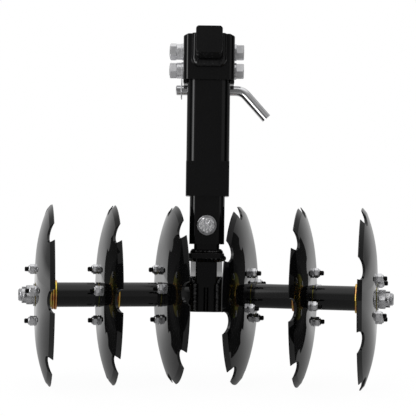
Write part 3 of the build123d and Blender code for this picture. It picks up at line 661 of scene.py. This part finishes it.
# Four hexagon bolts hold each blade to its hub, with a washer and a nylon lock nut on the
# outside. Head, washer and nut are bright zinc, and the thread's end is black.
BOLT_CIRCLE_R = 0.0508
BOLT_R = 0.005
BOLT_HEAD_LOW = 0.0108
BOLT_HEAD_TOP = 0.0172
BLADE_FACE = 0.030
BOLT_WASHER = 0.002
BOLT_WASHER_R = 0.010
BOLT_ACROSS = 0.017
BOLT_NUT_HIGH = 0.0114
BOLT_NUT_HEX = 0.0078
BOLT_TIP = 0.0072
BOLT_TIP_CHAMFER = 0.0012
BOLT_CORE_R = 0.0042
BOLT_TIP_R = 0.0034
BOLT_LAP = 0.003         # thread and shank that overlap inside the nut
BOLT_PITCH = 0.0015
BOLT_TURN = radians(12)
HEX_BEVEL = radians(30)
HEX_FACE = 0.475         # radius of a nut's round face, as a share of its size across
HEX_LAP = 0.0008         # how far the hexagon's end reaches over its collar's foot
NUT_BORE = 0.003
NUT_TURN = 0.4           # from one bolt's nut to the next, in radians
WASHER_EDGE = 0.0003
WASHER_UNDER = 0.0002
COLLAR_BORE = 0.0035
COLLAR_FOOT_R = 0.0078
LOCK_COLLAR = ((0.0076, 0.0016), (0.0070, 0.0005), (0.0063, 0.0), (0.0058, 0.0002),
               (0.0058, 0.0012), (COLLAR_BORE, 0.0012))   # radius, and depth below the nut's top
NUT_SIDES = 36
SHANK_SIDES = 24
OXIDE_ROUGH = 0.35
OXIDE_PEEL = 0.00001
RIM_TURNS = (0.5, 0.5, 5.0, -13.0, -3.5, 67.5)   # how each blade happened to stop, in degrees


def hexagon_profile(low, high, bore=0.0):
    """Profile of a bolt's head or nut, its corners turned off."""
    corner = BOLT_ACROSS / sqrt(3)
    face = BOLT_ACROSS * HEX_FACE
    between = (face + corner) / 2
    drop = (corner - face) * tan(HEX_BEVEL)
    return [(bore, low), (face, low), (between, low + drop / 2), (corner, low + drop),
            (corner, high - drop), (between, high - drop / 2), (face, high), (bore, high)]


black_oxide = black_paint("black_oxide", OXIDE_ROUGH, OXIDE_PEEL)
nut_low = BLADE_FACE + BOLT_WASHER
nut_top = nut_low + BOLT_NUT_HIGH
collar_low = nut_low + BOLT_NUT_HEX
tip_top = nut_top + BOLT_TIP
washer = [(NUT_BORE, BLADE_FACE), (BOLT_WASHER_R - WASHER_UNDER, BLADE_FACE),
          (BOLT_WASHER_R, BLADE_FACE + WASHER_EDGE), (BOLT_WASHER_R, nut_low - WASHER_EDGE),
          (BOLT_WASHER_R - WASHER_EDGE, nut_low), (NUT_BORE, nut_low)]
collar = [(COLLAR_BORE, collar_low), (COLLAR_FOOT_R, collar_low)]
collar += [(radius, nut_top - down) for radius, down in LOCK_COLLAR]
for number, rim_turn in enumerate(RIM_TURNS, start=1):
    side, rim = disc_place(number)
    rim = rim @ Matrix.Rotation(radians(-side * rim_turn), 4, "Z")
    steel = bmesh.new()
    tips = bmesh.new()
    for bolt in range(4):
        one = bmesh.new()
        turn_piece(one, hexagon_profile(BOLT_HEAD_LOW, BOLT_HEAD_TOP), NUT_SIDES, BOLT_ACROSS)
        turn_piece(one, [(0, BOLT_HEAD_TOP - LAP), (BOLT_R, BOLT_HEAD_TOP - LAP),
                         (BOLT_R, nut_top - BOLT_LAP), (0, nut_top - BOLT_LAP)], SHANK_SIDES)
        turn_piece(one, washer, NUT_SIDES)
        turn_piece(one, hexagon_profile(nut_low, collar_low + HEX_LAP, NUT_BORE), NUT_SIDES, BOLT_ACROSS,
                   bolt * NUT_TURN)
        turn_piece(one, collar, NUT_SIDES)
        tip = bmesh.new()
        thread(tip, BOLT_R, BOLT_PITCH, nut_top - BOLT_LAP, tip_top - BOLT_TIP_CHAMFER)
        turn_piece(tip, [(0, nut_top), (BOLT_CORE_R, nut_top), (BOLT_CORE_R, tip_top - BOLT_TIP_CHAMFER),
                         (BOLT_TIP_R, tip_top), (0, tip_top)], SHANK_SIDES)
        spot = Matrix.Rotation(BOLT_TURN + bolt * pi / 2, 4, "Z")
        spot = spot @ Matrix.Translation((BOLT_CIRCLE_R, 0, 0))
        for part, whole in ((one, steel), (tip, tips)):
            bmesh.ops.transform(part, matrix=rim @ spot, verts=part.verts)
            pour(part, whole)
    add_piece(f"disc_{number}_bolt_set", steel, bright_zinc, f"disc_{number}",
              [f"disc_{number}_bolts"])
    add_piece(f"disc_{number}_bolt_tips", tips, black_oxide, f"disc_{number}")


# A thick washer, a castle nut and a cotter pin close each axle. They are zinc plated, and
# the washer and nut are duller than the small bolts.
NUT_EASE = 0.0004
for word in ("left", "right"):
    eased(f"end_washer_{word}", dull_zinc, NUT_EASE)
    eased(f"castle_nut_{word}", dull_zinc, NUT_EASE)
    wear(f"cotter_pin_{word}", bright_zinc)


# The neck tube is welded on the carrier's plate, and the inner shank slides over it. One
# zinc plated bolt with round washers goes through both from the front.
NECK_SIDE = 0.0508
NECK_CORNER = 0.006
NECK_BEAD = 0.007
NECK_FOOT = 0.084
WIDE_EASE = 0.0009
WASHER_EASE = 0.0010


def square(side):
    """Corners of a square tube's section, round its middle."""
    half = side / 2
    return [Vector(corner) for corner in ((-half, -half), (half, -half), (half, half), (-half, half))]


eased("neck_tube", paint)
eased("inner_shank", paint, WIDE_EASE)
plan = [middle.xy + corner for corner in square(NECK_SIDE)]
weld_bead("neck_weld", outline(plan, NECK_CORNER, middle.z + NECK_FOOT), Vector((0, 0, 1)),
          lambda out: (NECK_BEAD, NECK_BEAD))
beaten_zinc = zinc_plate("beaten_zinc", tone=0.86, rough=0.10, mottle=0.15, relief=0.0013, metal=0.9)
for node in ("shank_bolt", "shank_nut"):
    eased(node, beaten_zinc, WIDE_EASE)
eased("shank_washers", bright_zinc, WASHER_EASE)


# The outer shank is a larger square tube that telescopes over the inner one, with a welded
# collar of the same size at its lower end.
for node in ("shank_collar", "outer_shank"):
    eased(node, paint)


# The hitch bracket is plate bent to a U round the outer tube. Two long zinc plated bolts
# cross the tube, with a flat washer below each head, and a flat and a spring washer below
# each nut.
BRACKET_NUT_EASE = 0.0005
eased("hitch_bracket", paint, WIDE_EASE)
pale_zinc = zinc_plate("pale_zinc", tone=0.92, rough=0.10, mottle=0.08, relief=0.00001, metal=0.6)
for node in ("bracket_bolts", "bracket_washers", "bracket_spring_washers", "bracket_nuts"):
    eased(node, pale_zinc, BRACKET_NUT_EASE)


# The drawbar stub is a 2 inch square tube, welded to the bracket's web on three sides, with
# a pressed-in cap of satin black plastic at its front end.
DRAWBAR_Z = 0.4935
DRAWBAR_FOOT = 0.051     # the web's face, before the shank's middle
DRAWBAR_SIDE = 0.0508
DRAWBAR_CORNER = 0.006
DRAWBAR_BEAD = 0.009
DRAWBAR_BEAD_BELOW = 0.015
DRAWBAR_UNEVEN = 0.25
PLASTIC_ROUGH = 0.2
PLASTIC_PEEL = 0.00001
CAP_EASE = 0.001
eased("drawbar_stub", paint)
plastic = black_paint("satin_black_plastic", PLASTIC_ROUGH, PLASTIC_PEEL)
eased("stub_end_cap", plastic, CAP_EASE)
stand = Matrix(((1, 0, 0), (0, 0, -1), (0, 1, 0)))
steps = []
for point, out in outline(square(DRAWBAR_SIDE), DRAWBAR_CORNER, DRAWBAR_FOOT):
    steps.append((middle + Vector((0, 0, DRAWBAR_Z)) + stand @ point, stand @ out))
level = middle + Vector((0, 0, DRAWBAR_Z + DRAWBAR_SIDE / 2))


def drawbar_reach(out):
    """The bead's legs. It reaches further below the stub than beside it."""
    return DRAWBAR_BEAD + (DRAWBAR_BEAD_BELOW - DRAWBAR_BEAD) * max(0.0, -out.z), DRAWBAR_BEAD


weld_bead("drawbar_weld", steps, Vector((0, -1, 0)), drawbar_reach, [(level, Vector((0, 0, 1)))],
          ["stub_weld"], uneven=DRAWBAR_UNEVEN)


# The hitch pin is a bent zinc plated bar that goes through both shank tubes, and a spring
# wire clip keeps it in.
wear("hitch_pin", bright_zinc)
wear("pin_clip", pale_zinc)
